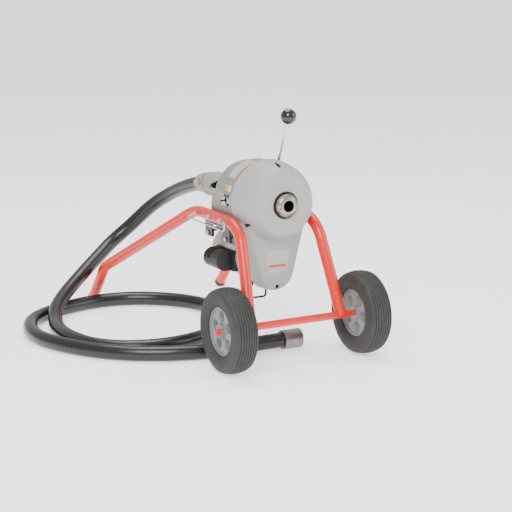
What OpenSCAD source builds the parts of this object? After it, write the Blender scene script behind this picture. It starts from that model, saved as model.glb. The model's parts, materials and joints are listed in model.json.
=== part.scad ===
// Drain snake machine on a two-wheeled tube frame, with a belt-driven hollow
// spindle, a hand clutch, a motor slung under the rails and a rear guide hose.
// Front is -Y, right is +X, up is +Z. The origin is on the floor under the middle.

/* [Frame] */
// Overall length from the front of the wheels to the back of the feet
base_length = 1118; // [1100:1:1140]
// Outer diameter of the frame tube
tube_d = 35; // [32:0.5:38]
// Wall of the frame tube
tube_wall = 2.5; // [2:0.25:3]
// Height of the middle of the top rails
rail_z = 408; // [400:1:412]
// Half the distance between the rails
rail_x = 131; // [129:0.5:133]

/* [Wheels] */
// Diameter of a tyre
wheel_d = 254; // [250:1:258]
// Width of a tyre
tyre_w = 76; // [70:1:78]
// Distance between the middles of the two tyres
track = 454; // [446:1:460]
// Diameter of the axle
axle_d = 19; // [16:0.5:20]

/* [Drive] */
// Height of the spindle's axis
spindle_z = 465; // [463:1:467]
// Height of the motor's axis
motor_z = 277; // [275:1:279]
// Bore of the nose, which the drain cable runs through
nose_bore_d = 35; // [34:0.5:36]
// Effective radius of the large pulley
big_pulley_r = 81; // [78:1:84]
// Effective radius of the motor pulley
small_pulley_r = 33; // [30:1:35]

/* [Hose] */
// Outer diameter of the guide hose
hose_d = 47; // [45:0.5:48]

/* [Hidden] */
$fn = 72;
slack = 0.05;
bigger = 1;

axle_y = wheel_d / 2 - base_length / 2;
axle_z = wheel_d / 2;
tube_r = tube_d / 2;
axle_r = axle_d / 2;

// Frame: a leg from the axle, a level rail, a slope that splays out, a rear leg
leg_foot_x = 155;
leg_top_y = -320;
leg_end_z = 124;
rail_end_y = -29;
rear_x = 247;
rear_bend_z = 146;
rear_tilt = 40.2;
cap_r = 19;
cap_flat = 2;
foot_y = base_length / 2 - cap_r * cos(rear_tilt);
foot_z = cap_r * sin(rear_tilt) - cap_flat;
rear_bend_y = foot_y - (rear_bend_z - foot_z) * tan(rear_tilt);
leg_top = [rail_x, leg_top_y, rail_z];
leg_axle = [leg_foot_x, axle_y, axle_z];
leg_end = leg_axle + (leg_axle - leg_top) * (axle_z - leg_end_z) / (rail_z - axle_z);
rear_bend = [rear_x, rear_bend_y, rear_bend_z];
foot_end = [rear_x, foot_y, foot_z];
cap_floor = 4;
tube_end = foot_end + [0, -sin(rear_tilt), cos(rear_tilt)] * cap_floor;
frame_path = [leg_end, leg_top, [rail_x, rail_end_y, rail_z], rear_bend, tube_end];
frame_bends = [100, 150, 90];
rail_bolt_ys = [-230, -155];
bail_ys = [-268, -82];

// Wheels
rim_r = 72;
rim_disc = 42;
hub_r = 23;
hub_in = 26;
hub_out = 27;
bush_r = 13;
washer_t = 3;
axle_half = 259;
cross_r = 11.5;
cross_half = 176;
wheel_outer = track / 2 + tyre_w / 2;

// Cover, plate and housing along Y
ring_y = -362;
taper_y = -315;
cover_back_y = -252;
plate_back_y = -244;
housing_back_y = -95;
cover_wall = 3.5;
drum_r = 124;
taper_top_r = 115;
lobe_r = 59;
lobe_z = 251;
housing_r = 116;
housing_half = 113.5;
housing_wall = 6;
housing_floor = 388;
plate_t = 5;

// Spindle and clutch
spindle_r = 30;
spindle_bore_r = 18.5;
bearing_r = 44;
lever_x = 45;
pivot_y = -223.5;
pivot_z = 535;
lever_lean = 22.6;
lever_length = 183.2;
rod_z0 = 13.5;
knob_r = 24;
yoke_arm = 45;
yoke_swing = 15;
ring_w = 16;
ring_y0 = pivot_y + yoke_arm * sin(yoke_swing) - ring_w / 2;
switch_x = -109;
switch_y = -200;
switch_z = 464;
jaw_y0 = -182;
jaw_len = 32;
jaw_w = 8;

// Motor
motor_r = 72;
motor_front_y = -240;
motor_back_y = -24;
shaft_r = 8;

// Hose adapter: the clamp dips to the rear
adapter_z = 463;
clamp_y = 155;
clamp_z = 456.2;
clamp_len = 50;
clamp_dip = 13;
hose_seat = 15;
clamp_bolt_x = 33;
hose_start = [0, clamp_y - hose_seat * cos(clamp_dip), clamp_z + hose_seat * sin(clamp_dip)];
hose_r = hose_d / 2;
collar_r = 29.5;
collar_z = collar_r;
collar_x0 = 30;
collar_x1 = 92;
collar_y = -290;

// Middle line of the guide hose, from the clamp to the collar
hose_points = [
    hose_start, [0, 243.7, 435.8], [-2, 318, 414], [-14, 422, 372], [-44, 492, 325], [-102, 545, 252],
    [-165, 553, 202], [-240, 519, 157], [-325, 466, 112], [-405, 400, 76], [-460, 335, 52],
    [-498, 250, 28], [-518, 160, 23.5], [-518, 60, 23.5], [-490, -45, 23.5],
    [-420, -118, 23.5], [-320, -150, 23.5], [-215, -142, 23.5], [-115, -98, 23.5],
    [-35, -22, 23.5], [20, 75, 23.5], [38, 180, 23.5], [8, 285, 23.5], [-65, 378, 23.5],
    [-165, 438, 23.5], [-275, 450, 23.5], [-385, 424, 23.5], [-478, 380, 23.5],
    [-555, 308, 23.5], [-598, 205, 23.5], [-602, 95, 23.5], [-566, -12, 23.5],
    [-500, -115, 23.5], [-420, -190, 23.5], [-325, -242, 23.5], [-230, -272, 23.5],
    [-130, -286, 25], [-35, collar_y, collar_z], [collar_x0, collar_y, collar_z]
];
hose_sides = 10;

// Lead that hangs between its two glands under the motor
lead_y = -236;
lead_r = 3.2;
lead_x0 = -48;
lead_x1 = 4;
lead_low_z = 160;
lead_bend = 9;
gland_low_z = 200;

function unit(v) = v / norm(v);

// Directions, tangent lengths and bend ends of a path of straights and arcs
function leg_dir(p, i) = unit(p[i + 1] - p[i]);
function turn(p, i) = acos(leg_dir(p, i - 1) * leg_dir(p, i));
function tangent(p, r, i) = r[i - 1] * tan(turn(p, i) / 2);
function leg_start(p, r, i) = i == 0 ? p[0] : p[i] + leg_dir(p, i) * tangent(p, r, i);
function leg_stop(p, r, i) =
    i == len(p) - 2 ? p[i + 1] : p[i + 1] - leg_dir(p, i) * tangent(p, r, i + 1);

module strut(a, b) {
    d = b - a;
    translate(a)
        rotate([0, acos(d.z / norm(d)), atan2(d.y, d.x)])
            linear_extrude(norm(d)) children();
}

// Bend of a path at its point i, swept from the end of the leg before it
module elbow(p, r, i) {
    u = leg_dir(p, i - 1);
    n = unit(cross(u, leg_dir(p, i)));
    inward = cross(n, u);
    c = p[i] - u * tangent(p, r, i) + inward * r[i - 1];
    multmatrix([
        [-inward.x, u.x, n.x, c.x],
        [-inward.y, u.y, n.y, c.y],
        [-inward.z, u.z, n.z, c.z],
        [0, 0, 0, 1]
    ])
        rotate_extrude(angle = turn(p, i)) translate([r[i - 1], 0]) children();
}

module annulus(r_out, r_in) {
    difference() {
        circle(r = r_out);
        circle(r = r_in);
    }
}

// Tube or rod along a path, with a thin sleeve over each joint of a straight and a bend
module bent(p, r, r_out, r_in) {
    last = len(p) - 2;
    gap = 0.2;
    lap = 0.1;
    half = max(0.5, r_out / 9);
    for (i = [0 : last])
        strut(
            leg_start(p, r, i) + leg_dir(p, i) * (i == 0 ? 0 : gap),
            leg_stop(p, r, i) - leg_dir(p, i) * (i == last ? 0 : gap)
        ) annulus(r_out, r_in);
    for (i = [1 : last]) {
        elbow(p, r, i) annulus(r_out, r_in);
        for (k = [i - 1, i]) {
            middle = k < i ? leg_stop(p, r, k) : leg_start(p, r, k);
            strut(middle - leg_dir(p, k) * half, middle + leg_dir(p, k) * half)
                annulus(r_out + lap, max(0, r_in - lap));
        }
    }
}

module rod_x(y, z, x0, x1, r) {
    translate([x0, y, z]) rotate([0, 90, 0]) cylinder(r = r, h = x1 - x0);
}

module rod_y(x, z, y0, y1, r) {
    translate([x, y0, z]) rotate([-90, 0, 0]) cylinder(r = r, h = y1 - y0);
}

module rod_z(x, y, z0, z1, r) {
    translate([x, y, z0]) cylinder(r = r, h = z1 - z0);
}

module tube_y(x, z, y0, y1, r_out, r_in) {
    translate([x, y0, z]) rotate([-90, 0, 0]) linear_extrude(y1 - y0) annulus(r_out, r_in);
}

module tube_x(y, z, x0, x1, r_out, r_in) {
    translate([x0, y, z]) rotate([0, 90, 0]) linear_extrude(x1 - x0) annulus(r_out, r_in);
}

// Outline in the XZ plane, extruded from y0 to y1
module slab_y(y0, y1) {
    translate([0, y1, 0]) rotate([90, 0, 0]) linear_extrude(y1 - y0) children();
}

// Profile of radius and Y, turned about a line along Y
module turned_y(x, z) {
    translate([x, 0, z]) rotate([-90, 0, 0]) rotate_extrude() children();
}

module box(low, high) {
    translate(low) cube(high - low);
}

module mirrored_x() {
    children();
    mirror([1, 0, 0]) children();
}

// Outline round a large circle at z1 and a small one at z2, with straight sides
function teardrop(z1, r1, z2, r2) =
    let (lean = asin((r1 - r2) / (z1 - z2)))
    concat(
        [for (k = [0 : 48])
            let (a = (180 + 2 * lean) * k / 48 - lean)
            [r1 * cos(a), z1 + r1 * sin(a)]],
        [for (k = [0 : 24])
            let (a = 180 + lean + (180 - 2 * lean) * k / 24)
            [r2 * cos(a), z2 + r2 * sin(a)]]
    );

module guard_outline(grow) {
    polygon(teardrop(spindle_z, taper_top_r + grow, lobe_z, lobe_r + grow));
}

module frame_side() {
    difference() {
        bent(frame_path, frame_bends, tube_r, tube_r - tube_wall);
        rod_x(axle_y, axle_z, leg_foot_x - tube_d, leg_foot_x + tube_d, cross_r);
        for (y = rail_bolt_ys)
            rod_x(y, rail_z, rail_x - tube_d, rail_x + tube_d, 4);
    }
}

module frame_left_tube() color("orangered") mirror([1, 0, 0]) frame_side();

module frame_right_tube() color("orangered") frame_side();

// Axle, thicker between the legs that are welded onto it
module axle() {
    color("orangered") {
        rod_x(axle_y, axle_z, -axle_half, axle_half, axle_r);
        rod_x(axle_y, axle_z, -cross_half, cross_half, cross_r);
    }
}

// Washers at both faces of each hub
module axle_washers() {
    play = 0.4;
    color("silver") mirrored_x() {
        tube_x(axle_y, axle_z, track / 2 - hub_in - play - washer_t, track / 2 - hub_in - play, 17, axle_r);
        tube_x(axle_y, axle_z, track / 2 + hub_out + play, track / 2 + hub_out + play + washer_t, 22, axle_r);
    }
}

module axle_caps() {
    color("orangered") mirrored_x() {
        rod_x(axle_y, axle_z, axle_half, wheel_outer, 10.5);
        tube_x(axle_y, axle_z, track / 2 + hub_out + 0.4 + washer_t, axle_half, 10.5, axle_r);
    }
}

// Plastic caps over the rear ends of the frame, worn flat where they stand
module foot_caps() {
    color("black") mirrored_x() difference() {
        translate(foot_end) rotate([rear_tilt, 0, 0]) difference() {
            cylinder(r = cap_r, h = 12);
            translate([0, 0, cap_floor]) cylinder(r = tube_r, h = 22);
        }
        box([rear_x - 40, foot_y - 60, -60], [rear_x + 40, foot_y + 60, 0]);
    }
}

module rounded_rect(w, h, r) {
    square([w - 2 * r, h], center = true);
    square([w, h - 2 * r], center = true);
    for (sx = [-1, 1])
        for (sy = [-1, 1])
            translate([sx * (w / 2 - r), sy * (h / 2 - r)]) circle(r = r);
}

// Tyre profile: radius along X, width along Y
module tyre_profile() {
    tread = wheel_d / 2;
    groove_pitch = 11.5;
    difference() {
        translate([(tread + rim_r) / 2, 0]) rounded_rect(tread - rim_r, tyre_w, 13);
        for (k = [-2 : 2])
            translate([tread, k * groove_pitch]) square([5, 2.2], center = true);
    }
}

module tyre(x) {
    color([0.12, 0.12, 0.12]) translate([x, axle_y, axle_z]) rotate([0, 90, 0])
        rotate_extrude() tyre_profile();
}

// Rim: a thick disc with five windows, a lip on each edge and a long hub
module rim(x, out, phase) {
    rim_half = 26;
    color([0.55, 0.56, 0.55]) translate([x, axle_y, axle_z]) rotate([0, 90 * out, 0]) difference() {
        union() {
            translate([0, 0, -rim_half]) linear_extrude(2 * rim_half) annulus(rim_r, rim_r - 5);
            translate([0, 0, -rim_disc / 2]) cylinder(r = rim_r - 2, h = rim_disc);
            translate([0, 0, -hub_in]) cylinder(r = hub_r, h = hub_in + hub_out);
        }
        translate([0, 0, -50]) cylinder(r = bush_r, h = 100);
        for (k = [0 : 4])
            rotate([0, 0, 72 * k + phase]) translate([0, 0, -rim_half]) linear_extrude(2 * rim_half)
                polygon(teardrop(44, 17, 30, 5));
    }
}

module wheel_bush() {
    color("tan")
        tube_x(axle_y, axle_z, track / 2 - hub_in, track / 2 + hub_out, bush_r, axle_r + slack);
}

module left_tyre() tyre(-track / 2);

module left_rim() rim(-track / 2, -1, -12);

module left_wheel_bush() mirror([1, 0, 0]) wheel_bush();

module right_tyre() tyre(track / 2);

module right_rim() rim(track / 2, 1, 43);

module right_wheel_bush() wheel_bush();

// Outer line of the drum from its flat ring to its back edge, as radius and Y
drum_line = [
    [90, ring_y], [95, -358], [100, -352], [104.5, -344], [109.5, -333], [115, -318],
    [118.5, -300], [121.5, -280], [drum_r, cover_back_y]
];

module drum_solid(inset) {
    turned_y(0, spindle_z)
        polygon(concat(
            [[0, cover_back_y], [0, ring_y + inset]],
            [for (p = drum_line) [p[0] - inset, max(p[1], ring_y + inset)]],
            [[drum_r - inset, cover_back_y]]
        ));
}

cover_screw_spots = [
    [0, 578], [-100, 404], [100, 404], [0, 207]
];

module front_cover() {
    seal_r = 41;
    boss_r = 53;
    boss_h = 2.5;
    color([0.72, 0.72, 0.71]) difference() {
        union() {
            difference() {
                union() {
                    drum_solid(0);
                    slab_y(taper_y, cover_back_y) guard_outline(0);
                }
                drum_solid(cover_wall);
                slab_y(taper_y + cover_wall, cover_back_y + bigger) guard_outline(-cover_wall);
                slab_y(cover_back_y - bigger, cover_back_y + bigger)
                    translate([0, spindle_z]) circle(r = drum_r - cover_wall);
            }
            tube_y(0, spindle_z, ring_y - boss_h, ring_y + 6, boss_r, seal_r);
            intersection() {
                for (p = cover_screw_spots)
                    rod_y(p[0], p[1], taper_y + 1, cover_back_y, 9);
                union() {
                    drum_solid(0.5);
                    slab_y(taper_y + 0.5, cover_back_y) guard_outline(-0.5);
                }
            }
        }
        rod_y(0, spindle_z, ring_y - 10, ring_y + 10, seal_r);
        for (p = cover_screw_spots) {
            rod_y(p[0], p[1], ring_y, taper_y + 12, 6.5);
            rod_y(p[0], p[1], ring_y, cover_back_y + bigger, 2.6);
        }
    }
}

// Blank name plate, proud of the taper, narrower at its foot
module cover_badge() {
    corner = 10;
    color([0.74, 0.74, 0.73]) slab_y(taper_y - 1.2, taper_y)
        hull() {
            for (side = [-1, 1]) {
                translate([side * (43 - corner), 322 - corner]) circle(r = corner, $fn = 32);
                translate([side * (35 - corner), 251 + corner]) circle(r = corner, $fn = 32);
            }
        }
}

module cover_screws() {
    color([0.2, 0.2, 0.2])
        for (p = cover_screw_spots) {
            rod_y(p[0], p[1], taper_y + 8, taper_y + 12, 5.5);
            rod_y(p[0], p[1], taper_y + 12, plate_back_y, 2.6);
        }
}

module nose_seal() {
    color([0.08, 0.08, 0.08]) tube_y(0, spindle_z, ring_y - 2, ring_y + 8, 41, 37.5);
}

// Plate that the cover, the housing and the motor bolt to
module drive_plate() {
    color([0.45, 0.45, 0.44]) difference() {
        union() {
            slab_y(cover_back_y, plate_back_y) guard_outline(-4);
            for (p = cover_screw_spots)
                rod_y(p[0], p[1], cover_back_y, plate_back_y, 7);
        }
        rod_y(0, spindle_z, cover_back_y - bigger, plate_back_y + bigger, bearing_r);
        rod_y(0, motor_z, cover_back_y - bigger, plate_back_y + bigger, 20);
        for (p = cover_screw_spots)
            rod_y(p[0], p[1], cover_back_y - bigger, plate_back_y + bigger, 2.6);
    }
}

// Outer line of the housing, as radius and Y
housing_line = [
    [housing_r, plate_back_y], [115.7, -180], [111.2, -160], [108.4, -145], [105.8, -127],
    [102, -110], [98.5, -100], [92, housing_back_y]
];

// Round upper half and square lower half, with a sloped shoulder between them
module housing_solid(inset) {
    back = housing_back_y - inset;
    floor_z = housing_floor + inset;
    intersection() {
        union() {
            turned_y(0, spindle_z)
                polygon(concat(
                    [[0, back], [0, plate_back_y]],
                    [for (p = housing_line) [p[0] - inset, min(p[1], back)]]
                ));
            intersection() {
                translate([-housing_half + inset, 0, 0])
                    rotate([90, 0, 90]) linear_extrude(2 * (housing_half - inset)) polygon([
                        [plate_back_y, floor_z], [-101 - inset, floor_z], [-101 - inset, 440],
                        [-112 - inset, 476], [plate_back_y, 520 - inset]
                    ]);
                union() {
                    rod_y(0, spindle_z, plate_back_y, back, housing_r - 0.5 - inset);
                    box([-200, plate_back_y, 300], [200, back, spindle_z]);
                }
            }
        }
        box([-200, plate_back_y, floor_z], [200, back, spindle_z + housing_r]);
    }
}

module clutch_housing() {
    slot_w = 14;
    boss_w = 16;
    color([0.59, 0.59, 0.58]) difference() {
        union() {
            difference() {
                housing_solid(0);
                translate([0, -bigger, 0]) housing_solid(housing_wall);
            }
            tube_y(0, spindle_z, -118, housing_back_y, 52, bearing_r);
            tube_y(0, spindle_z, housing_back_y - 2, housing_back_y, 52, 32);
            for (x = [-78, 78 - boss_w])
                intersection() {
                    union() {
                        rod_x(pivot_y, pivot_z, x, x + boss_w, 14);
                        box([x, pivot_y - 8, pivot_z], [x + boss_w, pivot_y + 8, pivot_z + 90]);
                    }
                    housing_solid(0.5);
                }
        }
        rod_y(0, spindle_z, -118 - bigger, housing_back_y - 2, bearing_r);
        rod_y(0, spindle_z, -140, housing_back_y + bigger, 32);
        rod_x(pivot_y, pivot_z, -78 - bigger, 78 + bigger, 8);
        box([lever_x - slot_w / 2, -258, 548], [lever_x + slot_w / 2, -206, 600]);
        mirrored_x() for (y = rail_bolt_ys) rod_x(y, rail_z, 80, 130, 4);
        box([-130, switch_y - 16, switch_z - 16], [-100, switch_y + 16, switch_z + 16]);
        box([-130, switch_y - 29, switch_z - 18.5], [-housing_half, switch_y + 29, switch_z + 18.5]);
    }
}

// Bolts through the rails into the housing, heads outside
module rail_bolts() {
    color("silver") mirrored_x() for (y = rail_bolt_ys) {
        rod_x(y, rail_z, rail_x + tube_r - 0.5, rail_x + tube_r + 1.5, 9);
        rod_x(y, rail_z, rail_x + tube_r + 1.5, rail_x + tube_r + 7, 6.5);
        rod_x(y, rail_z, 100, rail_x + tube_r, 4);
        rod_x(y, rail_z, housing_half - housing_wall - 7, housing_half - housing_wall, 7);
    }
}

// Blank foil label on the housing, from angle a0 to a1 and from y0 to y1
module foil(y0, y1, a0, a1) {
    skin = 1.2;
    drop = (housing_r - 115.7) / (-180 - plate_back_y);
    r0 = housing_r - drop * (y0 - plate_back_y);
    r1 = housing_r - drop * (y1 - plate_back_y);
    mid = (a0 + a1) / 2;
    intersection() {
        turned_y(0, spindle_z) polygon([[r0, y0], [r1, y1], [r1 + skin, y1], [r0 + skin, y0]]);
        slab_y(y0 - bigger, y1 + bigger)
            polygon([
                for (a = [a0, mid, a1]) [0, spindle_z] + 260 * [cos(a), sin(a)],
                [0, spindle_z]
            ]);
    }
}

module rating_plate() {
    color("silver") {
        foil(-240, -181, 103, 145);
        foil(-228, -191, 157, 166);
    }
}

// Hollow spindle with three slots for the jaws
module spindle() {
    color([0.6, 0.6, 0.6]) difference() {
        tube_y(0, spindle_z, -352, -84, spindle_r, spindle_bore_r);
        for (k = [0 : 2])
            translate([0, 0, spindle_z]) rotate([0, 120 * k, 0])
                box([-jaw_w / 2 - 0.3, jaw_y0 - 0.3, 0], [jaw_w / 2 + 0.3, jaw_y0 + jaw_len + 0.3, 60]);
    }
}

// Domed nose round the cable's way in
module nose() {
    mouth_y = -383;
    back_y = -352;
    mouth_r = nose_bore_d / 2;
    color([0.8, 0.78, 0.74]) difference() {
        turned_y(0, spindle_z)
            polygon(concat(
                [[mouth_r, back_y], [mouth_r, mouth_y]],
                [for (a = [90 : -15 : 0]) [mouth_r + 2.5 + 16 * cos(a), mouth_y + 16 - 16 * sin(a)]],
                [[36.5, -363], [36.5, back_y]]
            ));
        for (a = [72, 192, 312])
            rod_y(28.5 * cos(a), spindle_z + 28.5 * sin(a), mouth_y - bigger, mouth_y + 12, 2.4);
    }
}

module front_bearing() {
    color("silver") tube_y(0, spindle_z, -258, plate_back_y, bearing_r, spindle_r + slack);
}

module rear_bearing() {
    color("silver") tube_y(0, spindle_z, -116, housing_back_y - 2, bearing_r, spindle_r + slack);
}

// Pulley with a flat groove for the ribbed belt between two flanges
module pulley(z, r, bore) {
    difference() {
        union() {
            rod_y(0, z, -304, -276, r);
            rod_y(0, z, -304, -301, r + 4);
            rod_y(0, z, -279, -276, r + 4);
        }
        rod_y(0, z, -305, -275, bore);
    }
}

module driven_pulley() color([0.5, 0.5, 0.5]) pulley(spindle_z, big_pulley_r, spindle_r);

module motor_pulley() color([0.5, 0.5, 0.5]) pulley(motor_z, small_pulley_r, shaft_r);

module belt_outline(grow) {
    polygon(teardrop(spindle_z, big_pulley_r + grow, motor_z, small_pulley_r + grow));
}

module drive_belt() {
    color([0.1, 0.1, 0.1]) slab_y(-300.5, -279.5) difference() {
        belt_outline(5);
        belt_outline(0.4);
    }
}

// Jaw k of the clutch, clear of the cable until the lever is pulled
module clutch_jaw(k) {
    color([0.35, 0.35, 0.36]) translate([0, 0, spindle_z]) rotate([0, 120 * k, 0])
        box([-jaw_w / 2, jaw_y0, 20], [jaw_w / 2, jaw_y0 + jaw_len, 37]);
}

module clutch_jaw_1() clutch_jaw(0);

module clutch_jaw_2() clutch_jaw(1);

module clutch_jaw_3() clutch_jaw(2);

// Ring that the yoke slides along the spindle, with a skirt over the jaws
module thrust_ring() {
    groove_w = 10;
    groove_y = ring_y0 + (ring_w - groove_w) / 2;
    color([0.45, 0.45, 0.46]) difference() {
        union() {
            tube_y(0, spindle_z, ring_y0, ring_y0 + ring_w, 46, spindle_r + slack);
            tube_y(0, spindle_z, ring_y0 + ring_w - bigger, -146, 46, 41.5);
        }
        tube_y(0, spindle_z, groove_y, groove_y + groove_w, 50, 36);
    }
}

// Fork that turns on the pivot shaft; its pins run in the ring's groove
module clutch_yoke() {
    color([0.4, 0.4, 0.41]) {
        tube_x(pivot_y, pivot_z, -57, 57, 13, 8 + slack);
        for (side = [-1, 1])
            translate([0, pivot_y, pivot_z]) rotate([180 + yoke_swing, 0, 0]) {
                box([side * 52 - 4, -6.5, 10], [side * 52 + 4, 6.5, yoke_arm + 6]);
                translate([side * 41.5, 0, yoke_arm]) rotate([0, 90, 0])
                    cylinder(r = 4, h = 17, center = true);
            }
        lever_frame() difference() {
            translate([0, 0, 10]) cylinder(r = 7, h = 12);
            translate([0, 0, rod_z0]) cylinder(r = 4.75, h = 20);
        }
    }
}

module pivot_shaft() color("silver") rod_x(pivot_y, pivot_z, -78, 78, 8);

module lever_frame() {
    translate([lever_x, pivot_y, pivot_z]) rotate([lever_lean, 0, 0]) children();
}

module lever_rod() {
    color("silver") lever_frame() translate([0, 0, rod_z0]) cylinder(r = 4.75, h = lever_length - rod_z0);
}

module lever_knob() {
    color([0.05, 0.05, 0.05]) lever_frame() difference() {
        translate([0, 0, lever_length + 16]) sphere(r = knob_r);
        translate([0, 0, lever_length - 20]) cylinder(r = 4.75, h = 20);
    }
}

// Three-position motor switch in the housing's left side
module switch_body() {
    color([0.1, 0.1, 0.1]) difference() {
        box([-housing_half, switch_y - 15, switch_z - 15], [-84, switch_y + 15, switch_z + 15]);
        rod_x(switch_y, switch_z, -housing_half - bigger, -101, 7);
        rod_y(switch_x, switch_z, switch_y - 9.5, switch_y + 9.5, 1.5 + slack);
    }
}

module switch_plate() {
    color([0.8, 0.8, 0.8]) difference() {
        box([-housing_half - 1.7, switch_y - 28, switch_z - 17.5],
            [-housing_half, switch_y + 28, switch_z + 17.5]);
        rod_x(switch_y, switch_z, -120, -100, 8.5);
    }
}

// Toggle with a round root on a cross pin
module switch_toggle() {
    color([0.05, 0.05, 0.05]) {
        translate([switch_x, switch_y, switch_z]) rotate([0, -90, 0]) rotate_extrude()
            polygon([
                [0, -6], [3, -5.2], [5.2, -3.2], [6, -2.2], [6, 2.2], [5.2, 3.2], [3.2, 5],
                [2.8, 15], [4.2, 19], [4.2, 22], [2.5, 24], [0, 24.4]
            ]);
        rod_y(switch_x, switch_z, switch_y - 9, switch_y + 9, 1.5);
    }
}

// Steel plate across the underside of the housing, which carries the motor
module base_plate() {
    plate_z = housing_floor - plate_t;
    color([0.5, 0.5, 0.5]) difference() {
        union() {
            box([-135, plate_back_y, plate_z], [135, -108, housing_floor]);
            box([-112, plate_back_y, plate_z], [112, -56, housing_floor]);
        }
        box([-20, -236, plate_z - bigger], [20, -216, housing_floor + bigger]);
    }
}

hanger_ys = [-195, -79];
hanger_bolt_z = 342;

// Four angle brackets between the plate and the motor's cradle
module hanger_brackets() {
    color([0.1, 0.1, 0.1]) mirrored_x() for (y = hanger_ys) difference() {
        union() {
            box([108, y - 23, 333], [112, y + 23, housing_floor - plate_t]);
            box([92, y - 23, 379], [112, y + 23, housing_floor - plate_t]);
        }
        rod_x(y, hanger_bolt_z, 100, 120, 4);
    }
}

module hanger_bolts() {
    color("silver") mirrored_x() for (y = hanger_ys) {
        rod_x(y, hanger_bolt_z, 97, 114, 4);
        rod_x(y, hanger_bolt_z, 112, 117, 7);
        rod_x(y, hanger_bolt_z, 97, 103, 7);
    }
}

// Saddle from the brackets to the top of the motor
module cradle_outline() {
    difference() {
        union() {
            translate([-108, 350]) square([216, 5]);
            for (side = [-1, 1])
                translate([side * 105.5, 344]) square([5, 22], center = true);
            translate([-45, 328]) square([90, 24]);
        }
        translate([0, motor_z]) circle(r = motor_r);
    }
}

module motor_cradle() {
    color([0.3, 0.3, 0.3]) difference() {
        slab_y(-218, -56) cradle_outline();
        mirrored_x() box([60, hanger_ys[0] + 21, 320], [120, hanger_ys[1] - 21, 370]);
        mirrored_x() for (y = hanger_ys)
            rod_x(y, hanger_bolt_z, 100, 120, 4);
    }
}

module motor_shell() {
    color([0.75, 0.75, 0.74]) tube_y(0, motor_z, -206, -64, motor_r, motor_r - 3);
}

// End bell with a seat for the shaft
module motor_bell(y0, y1, wall_y) {
    tube_y(0, motor_z, y0, y1, motor_r, motor_r - 5);
    tube_y(0, motor_z, wall_y, wall_y + 5, motor_r - 4, shaft_r + slack);
}

module motor_front_bell() {
    color([0.66, 0.66, 0.65]) {
        motor_bell(motor_front_y, -206, motor_front_y);
        tube_y(0, motor_z, plate_back_y, motor_front_y, 26, shaft_r + slack);
    }
}

module motor_rear_bell() {
    color([0.66, 0.66, 0.65]) motor_bell(-64, motor_back_y, motor_back_y - 5);
}

module motor_stator() {
    color("peru") tube_y(0, motor_z, -190, -84, motor_r - 3, 40);
}

module motor_rotor() {
    color([0.55, 0.55, 0.55]) {
        rod_y(0, motor_z, -306, -22, shaft_r);
        tube_y(0, motor_z, -188, -86, 39, shaft_r);
    }
}

// Cooling fan with six blades
module motor_fan() {
    color([0.15, 0.15, 0.15]) {
        tube_y(0, motor_z, -60, -44, 14, shaft_r);
        for (k = [0 : 5])
            translate([0, 0, motor_z]) rotate([0, 60 * k, 0])
                box([-1.2, -60, 13], [1.2, -44, 58]);
    }
}

// Ribbed box over the motor's capacitor, half round on its outer side
module capacitor_outline(inset) {
    r = 30 - inset;
    translate([-98, 265]) circle(r = r);
    translate([-98 + (23 - inset) / 2, 265]) square([23 - inset, 2 * r], center = true);
}

module capacitor_cover() {
    color([0.08, 0.08, 0.08]) {
        difference() {
            slab_y(-163, -73) capacitor_outline(0);
            slab_y(-160, -76) capacitor_outline(3);
            box([-79, -170, 230], [-60, -60, 300]);
        }
        for (y = [-104, -96, -88, -80])
            intersection() {
                slab_y(y - 2, y + 2) difference() {
                    capacitor_outline(-2.5);
                    capacitor_outline(1);
                }
                box([-140, -170, 268], [-79, -60, 300]);
            }
    }
}

module capacitor_mount() {
    color([0.08, 0.08, 0.08]) difference() {
        box([-79, -180, 234], [-56, -66, 298]);
        rod_y(0, motor_z, -190, -60, motor_r);
    }
}

module capacitor() {
    color("gray") rod_y(-100, 265, -150, -86, 20);
}

// Glands at both ends of the hanging lead
module lead_glands() {
    color([0.1, 0.1, 0.1])
        for (x = [lead_x0, lead_x1]) {
            difference() {
                rod_z(x, lead_y, gland_low_z, motor_z - 55, 8);
                rod_y(0, motor_z, -250, -200, motor_r);
            }
        }
}

// Lead between the two glands, a U of straights and two bends
module motor_lead() {
    path = [
        [lead_x0, lead_y, gland_low_z],
        [lead_x0, lead_y, lead_low_z],
        [lead_x1, lead_y, lead_low_z],
        [lead_x1, lead_y, gland_low_z]
    ];
    color([0.06, 0.06, 0.06]) bent(path, [lead_bend, lead_bend], lead_r, 0);
}

bail_x = -(rail_x + tube_r + 6);
bail_r = 2.4;
bail_path = [
    [bail_x, bail_ys[1], rail_z],
    [bail_x - 33, bail_ys[1] - 2, rail_z - 8],
    [bail_x - 1, bail_ys[0] + 1, rail_z - 25],
    [bail_x, bail_ys[0], rail_z]
];

// Wire bail on the left rail
module rail_bail() {
    eye_r = 5.2;
    color("silver") difference() {
        union() {
            bent(bail_path, [7, 7], bail_r, 0);
            for (y = bail_ys)
                rod_y(bail_x, rail_z, y - 4, y + 4, eye_r);
        }
        for (y = bail_ys)
            rod_y(bail_x, rail_z, y - 5, y + 5, 2.5 + slack);
    }
}

// Lugs on the rail with the cross pins that the bail's eyes turn on
module bail_pivots() {
    color("silver") for (y = bail_ys) {
        rod_y(bail_x, rail_z, y - 9, y + 9, 2.5);
        for (side = [-1, 1])
            box([bail_x - 3.5, y + side * 7 - 2, rail_z - 3.5],
                [-rail_x - tube_r + 2, y + side * 7 + 2, rail_z + 3.5]);
    }
}

// Frame of the clamp: local Z runs down the hose, local Y points down
module clamp_frame() {
    translate([0, clamp_y, clamp_z]) rotate([-90 - clamp_dip, 0, 0]) children();
}

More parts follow.
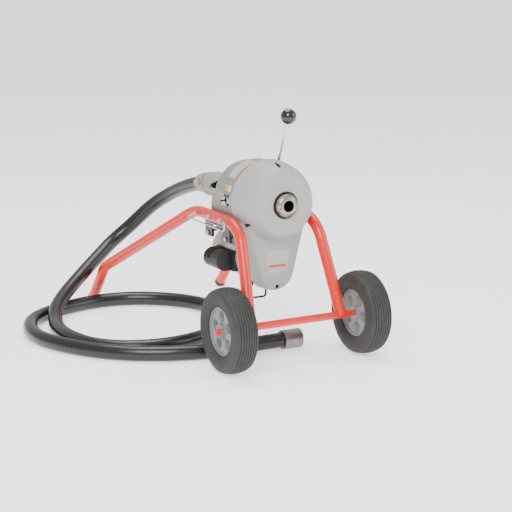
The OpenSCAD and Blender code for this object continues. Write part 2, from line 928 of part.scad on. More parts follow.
// Casting on the housing's back: flange, guide tube with side windows, web and lower clamp half
module hose_adapter() {
    half = clamp_len / 2;
    tube_end_y = 86;
    cone_end_y = 130;
    color([0.6, 0.58, 0.56]) difference() {
        union() {
            rod_y(0, spindle_z, housing_back_y, housing_back_y + 10, 56);
            rod_y(0, adapter_z, housing_back_y, tube_end_y, 38);
            translate([0, tube_end_y, adapter_z]) rotate([-90, 0, 0])
                cylinder(r1 = 38, r2 = 29, h = cone_end_y - tube_end_y);
            clamp_frame() {
                translate([0, 0, -half]) cylinder(r = 31, h = clamp_len);
                translate([-clamp_bolt_x - 6, -2, -16]) cube([2 * clamp_bolt_x + 12, 9, 32]);
            }
            translate([-11, 0, 0]) rotate([90, 0, 90]) linear_extrude(22)
                polygon([[housing_back_y, 424], [60, 420], [150, 421], [165, 440], [housing_back_y, 440]]);
        }
        rod_y(0, spindle_z, housing_back_y - bigger, housing_back_y + 16, 34);
        rod_y(0, adapter_z, housing_back_y - bigger, tube_end_y, 30);
        rod_y(0, adapter_z, housing_back_y, 118, 23);
        translate([-60, 0, 0]) rotate([90, 0, 90]) linear_extrude(120)
            polygon([[-30, 457], [60, 457], [58, 467], [20, 484], [-30, 484]]);
        clamp_frame() {
            translate([-80, -70, -half]) cube([160, 68, clamp_len + 40]);
            translate([0, 0, -hose_seat]) cylinder(r = hose_r + slack, h = clamp_len);
            translate([0, 0, -half - 20]) cylinder(r = 20, h = clamp_len);
            for (side = [-1, 1])
                translate([side * clamp_bolt_x, 0, 0]) rotate([90, 0, 0])
                    cylinder(r = 3, h = 30, center = true);
        }
    }
}

// Upper clamp half with two ears
module clamp_cap() {
    half = clamp_len / 2;
    color([0.66, 0.64, 0.6]) clamp_frame() difference() {
        union() {
            translate([-clamp_bolt_x - 6, -10, -16]) cube([2 * clamp_bolt_x + 12, 8, 32]);
            translate([0, 0, -half + 0.5]) cylinder(r = 31, h = clamp_len - 0.5);
        }
        translate([0, 0, -clamp_len]) cylinder(r = hose_r + slack, h = 2 * clamp_len);
        translate([-50, -2, -clamp_len]) cube([100, 60, 2 * clamp_len]);
        for (side = [-1, 1])
            translate([side * clamp_bolt_x, 0, 0]) rotate([90, 0, 0]) {
                cylinder(r = 3, h = 30, center = true);
                translate([0, 0, 10]) cylinder(r = 6.2, h = 30);
            }
    }
}

module clamp_bolts() {
    color("silver") clamp_frame()
        for (side = [-1, 1])
            translate([side * clamp_bolt_x, 0, 0]) rotate([90, 0, 0]) {
                translate([0, 0, -7]) cylinder(r = 3, h = 17);
                translate([0, 0, 10]) cylinder(r = 5.5, h = 5);
            }
}

// Hose: a ring of points square to the path at each point of the route
function hose_dir(i) =
    unit(hose_points[min(i + 1, len(hose_points) - 1)] - hose_points[max(i - 1, 0)]);
function hose_side(i) = unit(cross(hose_dir(i), [0, 0, 1]));
function hose_ring(i) = [
    for (k = [0 : hose_sides - 1])
        let (a = 360 * (k + 0.5) / hose_sides)
        hose_points[i] + hose_r * (cos(a) * hose_side(i) + sin(a) * cross(hose_side(i), hose_dir(i)))
];

module guide_hose() {
    rings = len(hose_points);
    points = [for (i = [0 : rings - 1]) for (p = hose_ring(i)) p];
    walls = [
        for (i = [0 : rings - 2])
            for (k = [0 : hose_sides - 1])
                let (j = (k + 1) % hose_sides)
                [
                    i * hose_sides + k, i * hose_sides + j,
                    (i + 1) * hose_sides + j, (i + 1) * hose_sides + k
                ]
    ];
    first = [for (k = [hose_sides - 1 : -1 : 0]) k];
    last = [for (k = [0 : hose_sides - 1]) (rings - 1) * hose_sides + k];
    color([0.1, 0.1, 0.1]) polyhedron(points, concat(walls, [first, last]));
}

// Steel collar on the free end of the hose
module hose_collar() {
    color([0.5, 0.49, 0.48]) difference() {
        rod_x(collar_y, collar_z, collar_x0, collar_x1, collar_r);
        rod_x(collar_y, collar_z, collar_x0 + 12, collar_x1 + bigger, 22);
        rod_x(collar_y, collar_z, collar_x0 - bigger, collar_x1, 19);
    }
}

frame_left_tube();
frame_right_tube();
axle();
axle_washers();
axle_caps();
foot_caps();
left_tyre();
left_rim();
left_wheel_bush();
right_tyre();
right_rim();
right_wheel_bush();
front_cover();
cover_badge();
cover_screws();
nose_seal();
drive_plate();
clutch_housing();
rail_bolts();
rating_plate();
spindle();
nose();
front_bearing();
rear_bearing();
driven_pulley();
motor_pulley();
drive_belt();
clutch_jaw_1();
clutch_jaw_2();
clutch_jaw_3();
thrust_ring();
clutch_yoke();
pivot_shaft();
lever_rod();
lever_knob();
switch_body();
switch_plate();
switch_toggle();
base_plate();
hanger_brackets();
hanger_bolts();
motor_cradle();
motor_shell();
motor_front_bell();
motor_rear_bell();
motor_stator();
motor_rotor();
motor_fan();
capacitor_cover();
capacitor_mount();
capacitor();
lead_glands();
motor_lead();
rail_bail();
bail_pivots();
hose_adapter();
clamp_cap();
clamp_bolts();
guide_hose();
hose_collar();
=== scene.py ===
import bmesh
import bpy
import json
import math
import numpy as np
from mathutils import Matrix, Vector


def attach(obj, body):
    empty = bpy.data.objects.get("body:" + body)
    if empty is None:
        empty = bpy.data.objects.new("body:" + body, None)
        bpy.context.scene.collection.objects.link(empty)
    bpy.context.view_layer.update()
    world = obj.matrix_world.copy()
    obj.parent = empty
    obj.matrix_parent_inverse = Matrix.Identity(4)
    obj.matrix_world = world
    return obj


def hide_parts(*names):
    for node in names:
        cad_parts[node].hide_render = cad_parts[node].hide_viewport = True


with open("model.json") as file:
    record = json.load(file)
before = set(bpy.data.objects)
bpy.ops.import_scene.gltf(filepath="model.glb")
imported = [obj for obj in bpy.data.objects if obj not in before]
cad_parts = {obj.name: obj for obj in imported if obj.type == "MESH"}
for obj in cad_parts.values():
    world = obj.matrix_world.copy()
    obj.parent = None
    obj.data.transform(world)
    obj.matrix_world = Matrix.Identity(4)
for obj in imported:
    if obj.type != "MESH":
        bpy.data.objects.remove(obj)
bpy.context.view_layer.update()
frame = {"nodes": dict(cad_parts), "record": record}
nodes = frame["nodes"]
print("stage: frame loaded,", len(nodes), "nodes")

# Camera: a long lens at chest height, to the left of the front
cameraSetup = {
    "azimuth": -28.64,        # degrees round from the front
    "elevation": 12.544,      # degrees above the horizon
    "place": (-2.2278, -4.2601, 1.30965),
    "lens": 108.33,
    "sensor": 36.0,
}
camera = bpy.data.objects.new("camera", bpy.data.cameras.new("camera"))
bpy.context.scene.collection.objects.link(camera)
camera.data.lens = cameraSetup["lens"]
camera.data.sensor_width = cameraSetup["sensor"]
camera.data.sensor_fit = "HORIZONTAL"
camera.data.clip_end = 120
turnZ = math.radians(cameraSetup["azimuth"])
tiltX = math.radians(90 - cameraSetup["elevation"])
camera.matrix_world = (
    Matrix.Translation(cameraSetup["place"])
    @ Matrix.Rotation(turnZ, 4, "Z")
    @ Matrix.Rotation(tiltX, 4, "X")
)
bpy.context.scene.camera = camera


def linear(code):
    # sRGB hex to linear RGBA: the standard two-part curve, channel by channel
    parts = np.array([int(code[i:i + 2], 16) for i in (1, 3, 5)]) / 255
    curve = np.where(parts <= 0.04045, parts / 12.92, ((parts + 0.055) / 1.055) ** 2.4)
    return (*curve.tolist(), 1.0)


def addNode(tree, kind, links=None, **settings):
    # one shader node: settings are its properties or socket values, links are its inputs
    node = tree.nodes.new(kind)
    for key, value in settings.items():
        name = key.replace("_", " ")
        if hasattr(node, key):
            setattr(node, key, value)
        else:
            found = [s for s in node.inputs if s.name.lower() == name.lower()]
            for socket in found:
                try:
                    socket.default_value = value
                except (TypeError, ValueError):
                    continue
    for target, source in (links or {}).items():
        tree.links.new(source, node.inputs[target])
    return node


def boxMask(tree, place, low, high):
    # 1 inside the box from low to high, in mm, and 0 outside it
    parts = addNode(tree, "ShaderNodeSeparateXYZ", {"Vector": place})
    mask = None
    for axis in range(3):
        for operation, edge in (("GREATER_THAN", low[axis]), ("LESS_THAN", high[axis])):
            test = addNode(tree, "ShaderNodeMath", {0: parts.outputs[axis]}, operation=operation)
            test.inputs[1].default_value = edge / 1000
            if mask is None:
                mask = test.outputs[0]
            else:
                mask = addNode(tree, "ShaderNodeMath", {0: mask, 1: test.outputs[0]},
                               operation="MULTIPLY").outputs[0]
    return mask


def newMaterial(name, base, rough, metal=0.0, coat=0.0, coatRough=0.1, ior=1.5, sheen=0.0,
                blotch=None, blotchMm=40.0, blotchMix=0.5, grainMm=0.0, grainDepthMm=0.0,
                roughSpread=0.08, dust=None, dustMix=0.0, dustMm=25.0, marks=()):
    # base colour with soft blotches, a bump from the surface's grain, uneven gloss, dust, and
    # plain printed areas, each filling a box given in mm
    material = bpy.data.materials.new(name)
    material.use_nodes = True
    tree = material.node_tree
    tree.nodes.clear()
    shader = addNode(tree, "ShaderNodeBsdfPrincipled", Metallic=metal, Coat_Weight=coat,
                     Coat_Roughness=coatRough, Sheen_Weight=sheen)
    if metal < 0.5:
        shader.inputs["IOR"].default_value = ior
    place = addNode(tree, "ShaderNodeTexCoord").outputs["Object"]
    patches = addNode(tree, "ShaderNodeTexNoise", {"Vector": place},
                      Scale=1000 / blotchMm, Detail=5.0, Roughness=0.6)
    ramp = addNode(tree, "ShaderNodeMapRange", {"Value": patches.outputs["Fac"]},
                   From_Min=0.35, From_Max=0.68, To_Min=0.0, To_Max=blotchMix)
    colour = addNode(tree, "ShaderNodeMix", {"Factor": ramp.outputs["Result"]},
                     data_type="RGBA")
    colour.inputs[6].default_value = linear(base)
    colour.inputs[7].default_value = linear(blotch or base)
    result = colour.outputs[2]
    if dust:
        specks = addNode(tree, "ShaderNodeTexNoise", {"Vector": place},
                         Scale=1000 / dustMm, Detail=8.0, Roughness=0.75)
        amount = addNode(tree, "ShaderNodeMapRange", {"Value": specks.outputs["Fac"]},
                         From_Min=0.45, From_Max=0.75, To_Min=0.0, To_Max=dustMix)
        dusty = addNode(tree, "ShaderNodeMix",
                        {"Factor": amount.outputs["Result"]}, data_type="RGBA")
        tree.links.new(result, dusty.inputs[6])
        dusty.inputs[7].default_value = linear(dust)
        result = dusty.outputs[2]
    for low, high, ink in marks:
        printed = addNode(tree, "ShaderNodeMix", {"Factor": boxMask(tree, place, low, high)},
                          data_type="RGBA")
        tree.links.new(result, printed.inputs[6])
        printed.inputs[7].default_value = linear(ink)
        result = printed.outputs[2]
    tree.links.new(result, shader.inputs["Base Color"])
    gloss = addNode(tree, "ShaderNodeMapRange", {"Value": patches.outputs["Fac"]},
                    From_Min=0.3, From_Max=0.7,
                    To_Min=max(0.02, rough - roughSpread), To_Max=min(1, rough + roughSpread))
    tree.links.new(gloss.outputs["Result"], shader.inputs["Roughness"])
    if grainMm:
        grain = addNode(tree, "ShaderNodeTexNoise", {"Vector": place},
                        Scale=1000 / grainMm, Detail=3.0, Roughness=0.55)
        bump = addNode(tree, "ShaderNodeBump", {"Height": grain.outputs["Fac"]},
                       Strength=1.0, Distance=grainDepthMm / 1000)
        tree.links.new(bump.outputs["Normal"], shader.inputs["Normal"])
    addNode(tree, "ShaderNodeOutputMaterial", {"Surface": shader.outputs["BSDF"]})
    return material


def finishMesh(name, points, faces, material, body, sharp=35):
    mesh = bpy.data.meshes.new(name)
    mesh.from_pydata(points.reshape(-1, 3).tolist(), [], faces.tolist())
    mesh.materials.append(material)
    mesh.validate()
    mesh.shade_smooth()
    mesh.set_sharp_from_angle(angle=math.radians(sharp))
    piece = bpy.data.objects.new(name, mesh)
    bpy.context.scene.collection.objects.link(piece)
    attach(piece, body)
    return piece


def gridFaces(rows, columns, closeRows=False):
    # quads of a rows x columns grid of points, each row a ring, and the rows a ring if asked
    r = np.arange(rows if closeRows else rows - 1)
    c = np.arange(columns)
    i, j = np.meshgrid(r, c, indexing="ij")
    a = i * columns + j
    b = i * columns + (j + 1) % columns
    d = ((i + 1) % rows) * columns + j
    e = ((i + 1) % rows) * columns + (j + 1) % columns
    return np.stack([a, b, e, d], axis=-1).reshape(-1, 4)


def eased(profile, radius, steps=5):
    # each inner corner of a 2D line becomes a quadratic curve that starts radius before it
    p = np.asarray(profile, float)
    before, corner, after = p[:-2], p[1:-1], p[2:]
    toBefore, toAfter = before - corner, after - corner
    lengthB = np.linalg.norm(toBefore, axis=1, keepdims=True)
    lengthA = np.linalg.norm(toAfter, axis=1, keepdims=True)
    reach = np.minimum(radius, 0.45 * np.minimum(lengthB, lengthA))
    start = corner + toBefore / lengthB * reach
    stop = corner + toAfter / lengthA * reach
    t = np.linspace(0, 1, steps)[None, :, None]
    curve = (1 - t) ** 2 * start[:, None] + 2 * t * (1 - t) * corner[:, None] + t ** 2 * stop[:, None]
    return np.vstack([p[:1], curve.reshape(-1, 2), p[-1:]])


def turned(name, profile, centre, axis, material, body, sides=120, ease=0.0, sharp=35,
           closed=False):
    # surface of revolution: profile holds (radius, distance along axis), carried round a circle
    line = np.asarray(profile, float)
    if ease:
        line = eased(line, ease)
    angle = np.linspace(0, 2 * np.pi, sides, endpoint=False)
    forward = np.array(axis, float) / np.linalg.norm(axis)
    side = np.cross(forward, [0.0, 0.0, 1.0])
    side /= np.linalg.norm(side)
    up = np.cross(side, forward)
    ring = np.cos(angle)[:, None] * side + np.sin(angle)[:, None] * up
    points = (np.array(centre, float)
              + line[:, 0, None, None] * ring[None]
              + line[:, 1, None, None] * forward) * 0.001
    faces = gridFaces(len(line), sides, closeRows=closed)
    return finishMesh(name, points, faces, material, body, sharp)


def swept(name, path, radius, sides, material, body):
    # tube: a circle carried along a path, square to it and level, closed by a fan at each end
    path = np.asarray(path, float)
    along = np.gradient(path, axis=0)
    along /= np.linalg.norm(along, axis=1, keepdims=True)
    guide = np.tile(np.array([0.0, 0.0, 1.0]), (len(path), 1))
    side = np.cross(along, guide)
    side /= np.maximum(np.linalg.norm(side, axis=1, keepdims=True), 1e-9)
    up = np.cross(side, along)
    angle = np.linspace(0, 2 * np.pi, sides, endpoint=False)
    points = path[:, None] + radius * (np.cos(angle)[None, :, None] * side[:, None]
                                       + np.sin(angle)[None, :, None] * up[:, None])
    points = points.reshape(-1, 3)
    centre = len(points)
    k = np.arange(sides)
    base = (len(path) - 1) * sides
    first = np.stack([k, (k + 1) % sides, np.full(sides, centre)], axis=-1)
    last = np.stack([base + (k + 1) % sides, base + k, np.full(sides, centre + 1)], axis=-1)
    points = np.vstack([points, path[:1], path[-1:]])
    flat = gridFaces(len(path), sides)[:, ::-1].tolist() + first.tolist() + last.tolist()
    mesh = bpy.data.meshes.new(name)
    mesh.from_pydata((points * 0.001).tolist(), [], flat)
    mesh.materials.append(material)
    mesh.shade_smooth()
    mesh.set_sharp_from_angle(angle=math.radians(40))
    piece = bpy.data.objects.new(name, mesh)
    bpy.context.scene.collection.objects.link(piece)
    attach(piece, body)
    return piece


def smoothPath(points, step):
    # centripetal Catmull-Rom curve through the points, resampled every step mm by its length
    p = np.asarray(points, float)
    p = np.vstack([2 * p[0] - p[1], p, 2 * p[-1] - p[-2]])
    gap = np.sqrt(np.linalg.norm(np.diff(p, axis=0), axis=1))
    knot = np.concatenate([[0], np.cumsum(gap)])
    t = np.linspace(knot[1], knot[-2], 3000)
    k = np.clip(np.searchsorted(knot, t, side="right") - 1, 1, len(p) - 3)

    def mix(a, b, ta, tb):
        return ((tb - t) / (tb - ta))[:, None] * a + ((t - ta) / (tb - ta))[:, None] * b

    t0, t1, t2, t3 = knot[k - 1], knot[k], knot[k + 1], knot[k + 2]
    a1, a2, a3 = mix(p[k - 1], p[k], t0, t1), mix(p[k], p[k + 1], t1, t2), mix(p[k + 1], p[k + 2], t2, t3)
    b1, b2 = mix(a1, a2, t0, t2), mix(a2, a3, t1, t3)
    curve = mix(b1, b2, t1, t2)
    length = np.concatenate([[0], np.cumsum(np.linalg.norm(np.diff(curve, axis=0), axis=1))])
    at = np.linspace(0, length[-1], max(2, int(length[-1] / step)))
    return np.stack([np.interp(at, length, curve[:, i]) for i in range(3)], axis=1), length[-1]


# powder coat over steel: deep orange-red, glossy, faint orange peel
powderRed = newMaterial("powderCoatRed", "#E3240C", 0.3, coat=0.25, coatRough=0.1,
                        blotch="#CF1E0B", blotchMm=60, blotchMix=0.4,
                        grainMm=2.2, grainDepthMm=0.05, dust="#9A3A28", dustMix=0.12)
# moulded ABS cover: light grey with a fine spark texture that scatters the light
coverAbs = newMaterial("absLightGrey", "#A5A6A3", 0.44, blotch="#9B9C99", blotchMm=90,
                       grainMm=0.9, grainDepthMm=0.03, dust="#8F8E88", dustMix=0.12)
# the badge: the same ABS, blank, with one plain printed stripe
badgeAbs = newMaterial("absPrintedBadge", "#B2B3B0", 0.36, blotch="#AAABA8", blotchMm=60,
                       marks=[((-29, -400, 268), (29, -200, 276), "#D8441C")])
# stoved enamel on an aluminium casting: mid grey, a little rough
housingEnamel = newMaterial("enamelGrey", "#80817E", 0.4, coat=0.15, blotch="#747571",
                            blotchMm=55, grainMm=1.6, grainDepthMm=0.07,
                            dust="#6E6A62", dustMix=0.2)
# sand-cast iron left grey-beige: grainy and dull
castGrey = newMaterial("sandCastGrey", "#A8A29A", 0.55, metal=0.25, blotch="#90897F",
                       blotchMm=22, grainMm=2.0, grainDepthMm=0.14, dust="#6B5F52", dustMix=0.25)
# vulcanised tread rubber: near black, dull, brown dust in the grain
tyreRubber = newMaterial("treadRubber", "#2B2A29", 0.68, blotch="#353433", blotchMm=18,
                         grainMm=1.2, grainDepthMm=0.08, dust="#5A554C", dustMix=0.25)
# glass-filled nylon rim: mid grey, satin
rimNylon = newMaterial("nylonRimGrey", "#8A8D8A", 0.5, blotch="#7C7F7C", blotchMm=30,
                       grainMm=1.1, grainDepthMm=0.04, dust="#5E5C58", dustMix=0.25)
# plasticised PVC hose: black with a soft gloss, and a slight waviness left by extrusion
hosePvc = newMaterial("pvcHoseBlack", "#0E0E0F", 0.3, coat=0.12, coatRough=0.2,
                      blotch="#151516", blotchMm=70, grainMm=14, grainDepthMm=0.3,
                      dust="#2E2C2A", dustMix=0.1)
# phenolic ball knob: deep black, polished
phenolicBlack = newMaterial("phenolicBlack", "#0B0B0C", 0.12, coat=0.6, coatRough=0.04,
                            blotch="#101011", roughSpread=0.03)
# moulded black nylon
nylonBlack = newMaterial("nylonBlack", "#1B1B1C", 0.45, blotch="#232323", blotchMm=20,
                         grainMm=1.0, grainDepthMm=0.04, dust="#4A4845", dustMix=0.2)
# zinc plate on steel: bright grey with cloudy patches
zincPlate = newMaterial("zincPlate", "#B9BBBC", 0.34, metal=1.0, blotch="#A3A5A8",
                        blotchMm=9, grainMm=0.8, grainDepthMm=0.02, dust="#6F6A60", dustMix=0.15)
# chrome plate
chromePlate = newMaterial("chromePlate", "#D3D4D6", 0.1, metal=1.0, blotch="#C6C7CA",
                          blotchMm=25, roughSpread=0.05)
# dull nickel on the turned nose: warm, worn by the cable
nickelWarm = newMaterial("nickelWarm", "#A79E92", 0.3, metal=1.0, blotch="#8E857A",
                         blotchMm=12, grainMm=0.8, grainDepthMm=0.03, dust="#5E5347", dustMix=0.25)
# turned steel: fine rings give a soft satin
turnedSteel = newMaterial("turnedSteel", "#8F8E8D", 0.36, metal=1.0, blotch="#7C7A78",
                          blotchMm=14, grainMm=0.7, grainDepthMm=0.03, dust="#4F463C", dustMix=0.3)
# silver paint of the motor
motorPaint = newMaterial("motorPaintSilver", "#B4B6B7", 0.38, metal=0.3, coat=0.1,
                         blotch="#A2A4A5", blotchMm=45, grainMm=1.4, grainDepthMm=0.04,
                         dust="#77726A", dustMix=0.2)
# the motor's drawn steel shell: the same paint, with a blank white label
shellPaint = newMaterial("motorShellSilver", "#AEB0B1", 0.38, metal=0.3, coat=0.1,
                         blotch="#9C9EA0", blotchMm=45, grainMm=1.4, grainDepthMm=0.04,
                         dust="#77726A", dustMix=0.2,
                         marks=[((-200, -172, 284), (-30, -104, 312), "#E4E4DF")])
# die-cast end ring, a lighter beige
bellBeige = newMaterial("dieCastBeige", "#C4BFB3", 0.45, metal=0.2, blotch="#B3ADA0",
                        blotchMm=30, grainMm=1.8, grainDepthMm=0.08, dust="#7D766A", dustMix=0.2)
# black enamel on folded steel
enamelBlack = newMaterial("enamelBlack", "#1A1A1B", 0.35, coat=0.2, blotch="#262626",
                          blotchMm=25, grainMm=1.5, grainDepthMm=0.04, dust="#55524C", dustMix=0.2)
# anodised label foils: a silver one with an orange band, and a small white and yellow one
ratingFoil = newMaterial("labelFoil", "#C9CBCC", 0.3, metal=0.5, blotch="#BDBFC0", blotchMm=30,
                         grainMm=1.5, grainDepthMm=0.01,
                         marks=[((-200, -260, 520), (0, -229, 600), "#D8551C"),
                                ((-200, -260, 470), (0, -209, 520), "#E3E3DD"),
                                ((-200, -209, 470), (0, -170, 520), "#D9B61F")])
# screen-printed switch plate: silver with plain black blocks
switchFoil = newMaterial("switchFoil", "#C4C6C7", 0.32, metal=0.5, blotch="#B8BABB", blotchMm=30,
                         grainMm=1.5, grainDepthMm=0.01,
                         marks=[((-200, -225, 472), (0, -188, 482), "#1A1A1A"),
                                ((-200, -225, 447), (0, -200, 457), "#1A1A1A"),
                                ((-200, -185, 470), (0, -175, 478), "#1A1A1A")])
# nitrile rubber: seals, belt and lead
nitrileBlack = newMaterial("nitrileBlack", "#161616", 0.6, blotch="#202020", blotchMm=10,
                           grainMm=0.9, grainDepthMm=0.04)
# varnished windings and laminations
windings = newMaterial("windingVarnish", "#8A4B2A", 0.4, metal=0.6, blotch="#6A3A22", blotchMm=6,
                       grainMm=0.8, grainDepthMm=0.1)
# acetal bush
bushTan = newMaterial("acetalBush", "#CFC6AE", 0.45, blotch="#BDB39A", blotchMm=8,
                      grainMm=0.8, grainDepthMm=0.02)

paint = {
    "red_paint": powderRed, "zinc": zincPlate, "black_plastic": nylonBlack, "tyre": tyreRubber,
    "rim_plastic": rimNylon, "bush": bushTan, "cover_grey": coverAbs, "badge": coverAbs,
    "seal": nitrileBlack, "housing_grey": housingEnamel, "steel_dark": turnedSteel,
    "label": ratingFoil, "chrome": chromePlate, "belt": nitrileBlack,
    "black_gloss": phenolicBlack, "motor_silver": motorPaint, "copper": windings,
    "black_steel": enamelBlack, "casting": castGrey, "hose": hosePvc, "collar": turnedSteel,
}
ownPaint = {
    "nose": nickelWarm, "switch_plate": switchFoil, "rating_plate": ratingFoil,
    "cover_badge": badgeAbs, "motor_shell": shellPaint, "motor_rear_bell": bellBeige,
}
slotOf = {part["node"]: part["material_slot"] for part in frame["record"]["subparts"]}
for name, node in nodes.items():
    node.data.materials.clear()
    node.data.materials.append(ownPaint.get(name, paint[slotOf[name]]))
print("stage: materials made")

# Guide hose: its route is a list of points, from the clamp to the collar
hose = {"diameter": 47.0, "step": 9.0, "sides": 28}
hoseRoute = [
    (0, 140.38, 459.57), (0, 243.7, 435.8), (-2, 318, 414), (-14, 422, 372), (-44, 492, 325),
    (-102, 545, 252), (-165, 553, 202), (-240, 519, 157), (-325, 466, 112), (-405, 400, 76),
    (-460, 335, 52), (-498, 250, 28), (-518, 160, 23.5), (-518, 60, 23.5), (-490, -45, 23.5),
    (-420, -118, 23.5), (-320, -150, 23.5), (-215, -142, 23.5), (-115, -98, 23.5),
    (-35, -22, 23.5), (20, 75, 23.5), (38, 180, 23.5), (8, 285, 23.5), (-65, 378, 23.5),
    (-165, 438, 23.5), (-275, 450, 23.5), (-385, 424, 23.5), (-478, 380, 23.5),
    (-555, 308, 23.5), (-598, 205, 23.5), (-602, 95, 23.5), (-566, -12, 23.5),
    (-500, -115, 23.5), (-420, -190, 23.5), (-325, -242, 23.5), (-230, -272, 23.5),
    (-130, -286, 25), (-35, -290, 29.5), (30, -290, 29.5),
]
hosePath, hoseLength = smoothPath(hoseRoute, hose["step"])
hosePiece = swept("guideHose", hosePath, hose["diameter"] / 2, hose["sides"], hosePvc,
                  "machine")
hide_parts("guide_hose")
print("stage: hose laid,", round(hoseLength), "mm")

tyre = {"outer": 127.0, "inner": 72.0, "width": 76.0, "grooves": 7, "pitch": 8.2,
        "grooveWidth": 2.4, "grooveDepth": 2.2, "crown": 5.0, "treadHalf": 30.0}


def tyreLine(t):
    # closed section as (radius, offset across the wheel): the tread crowns as a parabola and
    # has square grooves, and the sidewall bulges out between the shoulder and the bead
    outer, inner, half = t["outer"], t["inner"], t["width"] / 2
    side = np.array([
        (inner, half - 9), (inner + 1.5, half - 6), (inner + 4, half - 4.6), (inner + 6, half - 5.4),
        (inner + 7.2, half - 5.2), (inner + 9, half - 3.4), (inner + 13, half - 2.2),
        (inner + 20, half - 0.8), (inner + 27, half), (inner + 34, half - 0.2),
        (inner + 39, half - 1.0), (inner + 43.5, half - 2.6), (inner + 47, half - 4.8),
        (inner + 49, half - 6.8),
    ])
    edges = []
    reach = (t["grooves"] - 1) / 2
    for k in np.arange(reach, -reach - 1, -1):
        w, d = t["grooveWidth"] / 2, t["grooveDepth"]
        wall = ((w + 0.5, 0), (w, 0.4), (w - 0.2, d))
        for offset, depth in wall + tuple((-a, b) for a, b in wall[::-1]):
            x = k * t["pitch"] + offset
            edges.append((outer - t["crown"] * (x / t["treadHalf"]) ** 2 - depth, x))
    return np.vstack([side, edges, side[::-1] * np.array([1, -1])])


for sideName, sign in (("left", -1), ("right", 1)):
    line = tyreLine(tyre)
    piece = turned(sideName + "Tyre", line, (sign * 227.0, -432.0, 127.0), (1, 0, 0),
                   tyreRubber, sideName + "_wheel", sides=160, closed=True, sharp=28)
    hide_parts(sideName + "_tyre")
print("stage: tyres made")

cover = {
    "axisZ": 465.0, "back": -252.0, "face": -315.0, "ring": -362.0,
    "drum": [(84, -362), (89.5, -362), (95, -358), (100, -352), (104.5, -344), (109.5, -333),
             (115, -318), (118.5, -300), (121.5, -280), (124, -252)],
    "centre": [(41.2, -354), (41.2, -363.6), (42.2, -364.5), (51, -364.5), (52, -363.4),
               (53, -362), (60, -362)],
    "lobeRadius": 59.0, "lobeZ": 251.0, "topRadius": 115.0, "columns": 360, "wall": 3.5,
    "edgeDepth": 18.0, "edgeReach": 8.0, "flare": 4.5, "taper": 2.4,
    "seal": 41.2, "screws": [(0, 578), (-100, 404), (100, 404), (0, 207)], "recess": 6.5,
}


def outlineReach(angle, c):
    # distance from the drum's axis to the belt outline at an angle: the support of two
    # circles and their common tangents, met by a ray
    drop = c["axisZ"] - c["lobeZ"]
    lean = math.asin((c["topRadius"] - c["lobeRadius"]) / drop)
    normal = np.array([math.cos(lean), -math.sin(lean)])
    ray = np.stack([np.abs(np.cos(angle)), np.sin(angle)], axis=-1)
    towards = ray @ normal
    flat = np.where(towards > 1e-6, c["topRadius"] / np.maximum(towards, 1e-6), 1e9)
    down = -ray[:, 1]
    inside = np.maximum(c["lobeRadius"] ** 2 - drop ** 2 * (1 - down ** 2), 0)
    lobe = np.where((down > 0) & (inside > 0), drop * down + np.sqrt(inside), 0)
    along = ray[:, 0] * normal[1] * -1 + ray[:, 1] * normal[0]
    slide = -flat * along
    length = drop * math.cos(lean)
    onTaper = (slide > 0) & (slide < length)
    return np.where(onTaper, flat, np.where(slide >= length, lobe, c["topRadius"]))


def softMax(a, b, k):
    # larger of two lengths, with the crease between them rounded over k
    h = np.clip(0.5 + 0.5 * (a - b) / k, 0, 1)
    return b + (a - b) * h + k * h * (1 - h) / 2


def coverSurface(c):
    # rows of rings round the drum's axis: the centre and the dome are circles, the flat is
    # the gap from the dome to the belt outline, and the wall is the larger of the two
    angle = np.linspace(0, 2 * np.pi, c["columns"], endpoint=False)
    reach = outlineReach(angle, c)
    drumLine = eased(c["drum"], 2, 4)
    order = np.argsort(drumLine[:, 1])
    drumAt = lambda y: np.interp(y, drumLine[order, 1], drumLine[order, 0])
    rows = []
    for radius, y in eased(c["centre"], 0.6, 3):
        rows.append((np.full_like(angle, radius), np.full_like(angle, y)))
    dome = drumLine[drumLine[:, 1] < c["face"] - 2]
    for radius, y in dome:
        rows.append((np.full_like(angle, radius), np.full_like(angle, y)))

    def wallAt(y):
        into = np.clip((y - c["face"]) / c["edgeDepth"], 0, 1)
        trim = c["edgeReach"] * (1 - math.sqrt(max(0, 1 - (1 - into) ** 2)))
        forward = (y - c["back"]) / (c["face"] - c["back"])
        grow = c["flare"] - (c["flare"] + c["taper"]) * forward
        return softMax(reach - trim + grow, np.full_like(reach, drumAt(y)), 4.0)

    foot = drumAt(c["face"])
    spread = wallAt(c["face"]) - foot
    for u in (0.0, 0.03, 0.08, 0.16, 0.3, 0.45, 0.6, 0.75, 0.88, 1.0):
        lift = 3.0 * np.exp(-u * spread / 2.2) * np.clip(spread / 8, 0, 1)
        rows.append((foot + u * spread, np.full_like(angle, c["face"]) - lift * 0.6))
    for y in c["face"] + (c["back"] - c["face"]) * np.linspace(0.012, 1, 26) ** 1.5:
        rows.append((wallAt(y), np.full_like(angle, y)))
    radius = np.array([r for r, _ in rows])
    y = np.array([v for _, v in rows])
    return np.stack([radius * np.cos(angle), y, c["axisZ"] + radius * np.sin(angle)], axis=-1) * 0.001


def insetCover(c):
    # the same cover one wall thickness further in, open to the same back
    wall, inner = c["wall"], dict(c)
    inner["face"] = c["face"] + wall
    inner["drum"] = [(r - wall, min(y + wall, c["back"])) for r, y in c["drum"]]
    inner["centre"] = [(c["seal"] + wall, -354), (c["seal"] + wall, c["ring"] + 2 * wall),
                       (60, c["ring"] + wall)]
    inner["lobeRadius"] = c["lobeRadius"] - wall
    inner["topRadius"] = c["topRadius"] - wall
    return inner


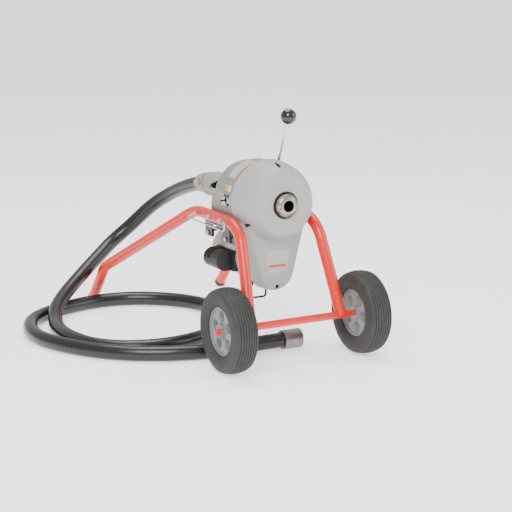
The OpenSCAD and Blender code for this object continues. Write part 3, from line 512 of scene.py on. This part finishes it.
def drilled(piece, spots, radius, front, back):
    # the piece less a round hole along Y at each spot, with the cut applied to its mesh
    cutters = []
    for x, z in spots:
        bpy.ops.mesh.primitive_cylinder_add(
            vertices=40, radius=radius / 1000, depth=(back - front) / 1000,
            location=(x / 1000, (front + back) / 2000, z / 1000), rotation=(math.pi / 2, 0, 0))
        cutters.append(bpy.context.active_object)
        hole = piece.modifiers.new("hole", "BOOLEAN")
        hole.operation = "DIFFERENCE"
        hole.solver = "EXACT"
        hole.object = cutters[-1]
    graph = bpy.context.evaluated_depsgraph_get()
    mesh = bpy.data.meshes.new_from_object(piece.evaluated_get(graph))
    piece.modifiers.clear()
    mesh.validate()
    mesh.set_sharp_from_angle(angle=math.radians(38))
    piece.data = mesh
    for cutter in cutters:
        bpy.data.objects.remove(cutter)


coverPoints = np.vstack([coverSurface(cover), coverSurface(insetCover(cover))[::-1]])
coverPiece = finishMesh("frontCover", coverPoints,
                        gridFaces(len(coverPoints), cover["columns"], closeRows=True)[:, ::-1],
                        coverAbs, "machine", sharp=50)
joined = bmesh.new()
joined.from_mesh(coverPiece.data)
bmesh.ops.remove_doubles(joined, verts=joined.verts, dist=0.00002)
bmesh.ops.dissolve_degenerate(joined, edges=joined.edges, dist=0.00001)
joined.to_mesh(coverPiece.data)
joined.free()
drilled(coverPiece, cover["screws"], cover["recess"], -345, -300)
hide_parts("front_cover")
print("stage: cover made")

# A plain pale floor and soft studio light
floorMaterial = newMaterial("floorPale", "#FBFAF8", 0.8, blotch="#F7F6F4", blotchMm=900)
bpy.ops.mesh.primitive_plane_add(size=90, location=(0, 0, 0))
floorPiece = bpy.context.active_object
floorPiece.name = "floor"
floorPiece.data.materials.append(floorMaterial)
floorShader = floorMaterial.node_tree.nodes["Principled BSDF"]
floorShader.inputs["Emission Color"].default_value = linear("#FFFFFF")
floorShader.inputs["Emission Strength"].default_value = 0.9

world = bpy.data.worlds.new("studio")
bpy.context.scene.world = world
world.use_nodes = True
world.node_tree.nodes["Background"].inputs[0].default_value = linear("#F4F5F7")
world.node_tree.nodes["Background"].inputs[1].default_value = 0.95

lamps = {
    "keyLamp": {"place": (-2.4, -3.2, 3.4), "size": 2.2, "power": 180},
    "fillLamp": {"place": (3.4, -2.6, 2.2), "size": 2.6, "power": 70},
    "topLamp": {"place": (0.2, 0.8, 3.8), "size": 2.4, "power": 110},
}
for name, lamp in lamps.items():
    light = bpy.data.lights.new(name, "AREA")
    light.size = lamp["size"]
    light.energy = lamp["power"]
    holder = bpy.data.objects.new(name, light)
    bpy.context.scene.collection.objects.link(holder)
    holder.location = lamp["place"]
    aim = Vector((-0.1, -0.1, 0.3)) - Vector(lamp["place"])
    holder.rotation_euler = aim.to_track_quat("-Z", "Y").to_euler()
print("stage: stage set")
